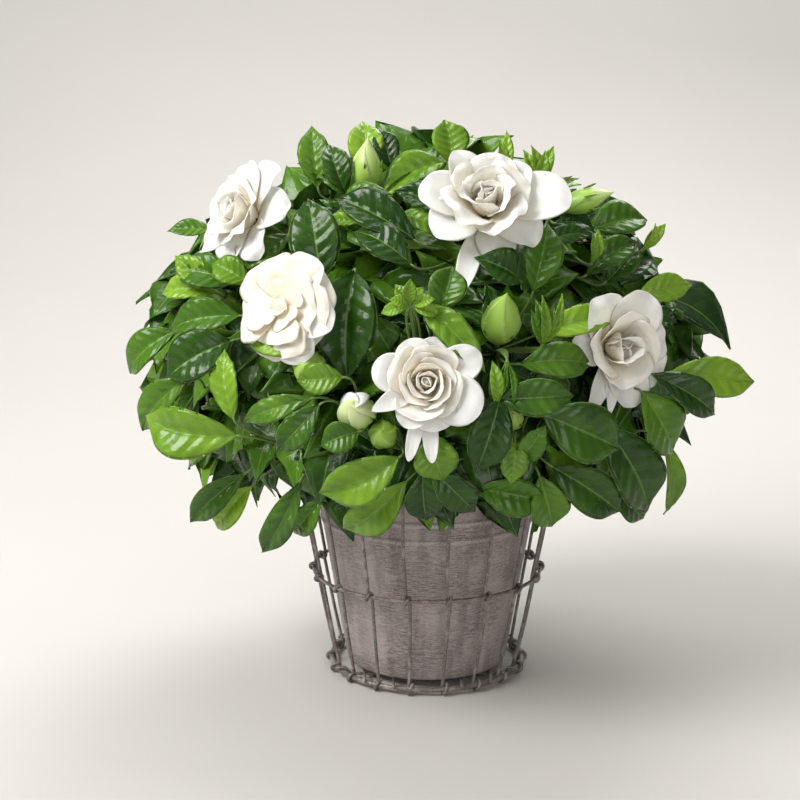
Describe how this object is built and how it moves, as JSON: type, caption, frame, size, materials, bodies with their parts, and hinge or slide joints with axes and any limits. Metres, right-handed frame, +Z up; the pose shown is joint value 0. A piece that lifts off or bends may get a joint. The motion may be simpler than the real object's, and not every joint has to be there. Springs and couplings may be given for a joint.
{
  "type": "potted gardenia",
  "caption": "Flowering gardenia shrub with white double blooms, buds and glossy leaves, growing in a tapered pot that stands in a round wire basket.",
  "frame": {"origin": "centre of the base, on the surface that the basket stands on", "axes": "+Z up, -Y towards the front, +X to the right seen from the front"},
  "size_m": [0.449, 0.3805, 0.398],
  "materials": {
    "pot_grey": "matte grey-brown clay, finely combed round the wall",
    "aged_wire": "dark aged steel wire with pale rubbed patches",
    "soil": "damp crumbly potting soil",
    "bark": "thin grey-brown bark",
    "leaf_green": "glossy, waxy, deeply veined",
    "petal_white": "soft satin petal",
    "bud_green": "smooth, slightly waxy bud"
  },
  "bodies": {
    "root": {"bottom_ring": "aged_wire", "floor_grid": "aged_wire", "flower_front": "petal_white", "flower_left": "petal_white", "flower_right": "petal_white", "flower_top": "petal_white", "flower_top_left": "petal_white", "green_bud": "bud_green", "leaf_spray_01": "leaf_green", "leaf_spray_02": "leaf_green", "leaf_spray_03": "leaf_green", "leaf_spray_04": "leaf_green", "leaf_spray_05": "leaf_green", "leaf_spray_06": "leaf_green", "leaf_spray_07": "leaf_green", "leaf_spray_08": "leaf_green", "leaf_spray_09": "leaf_green", "leaf_spray_10": "leaf_green", "leaf_spray_11": "leaf_green", "leaf_spray_12": "leaf_green", "leaf_spray_13": "leaf_green", "leaf_spray_14": "leaf_green", "leaf_spray_15": "leaf_green", "leaf_spray_16": "leaf_green", "leaf_spray_17": "leaf_green", "leaf_spray_18": "leaf_green", "leaf_spray_19": "leaf_green", "leaf_spray_20": "leaf_green", "leaf_spray_21": "leaf_green", "leaf_spray_22": "leaf_green", "leaf_spray_23": "leaf_green", "mid_ring": "aged_wire", "opening_bud": "bud_green", "pot": "pot_grey", "potting_soil": "soil", "right_bud": "bud_green", "round_bud": "bud_green", "side_bud": "bud_green", "small_bud": "bud_green", "tall_bud": "bud_green", "top_ring": "aged_wire", "upright_01": "aged_wire", "upright_02": "aged_wire", "upright_03": "aged_wire", "upright_04": "aged_wire", "upright_05": "aged_wire", "upright_06": "aged_wire", "upright_07": "aged_wire", "upright_08": "aged_wire", "upright_09": "aged_wire", "upright_10": "aged_wire", "upright_11": "aged_wire", "upright_12": "aged_wire", "upright_13": "aged_wire", "upright_14": "aged_wire", "upright_15": "aged_wire", "upright_16": "aged_wire", "upright_17": "aged_wire", "upright_18": "aged_wire", "woody_stems": "bark"}
  },
  "joints": []
}
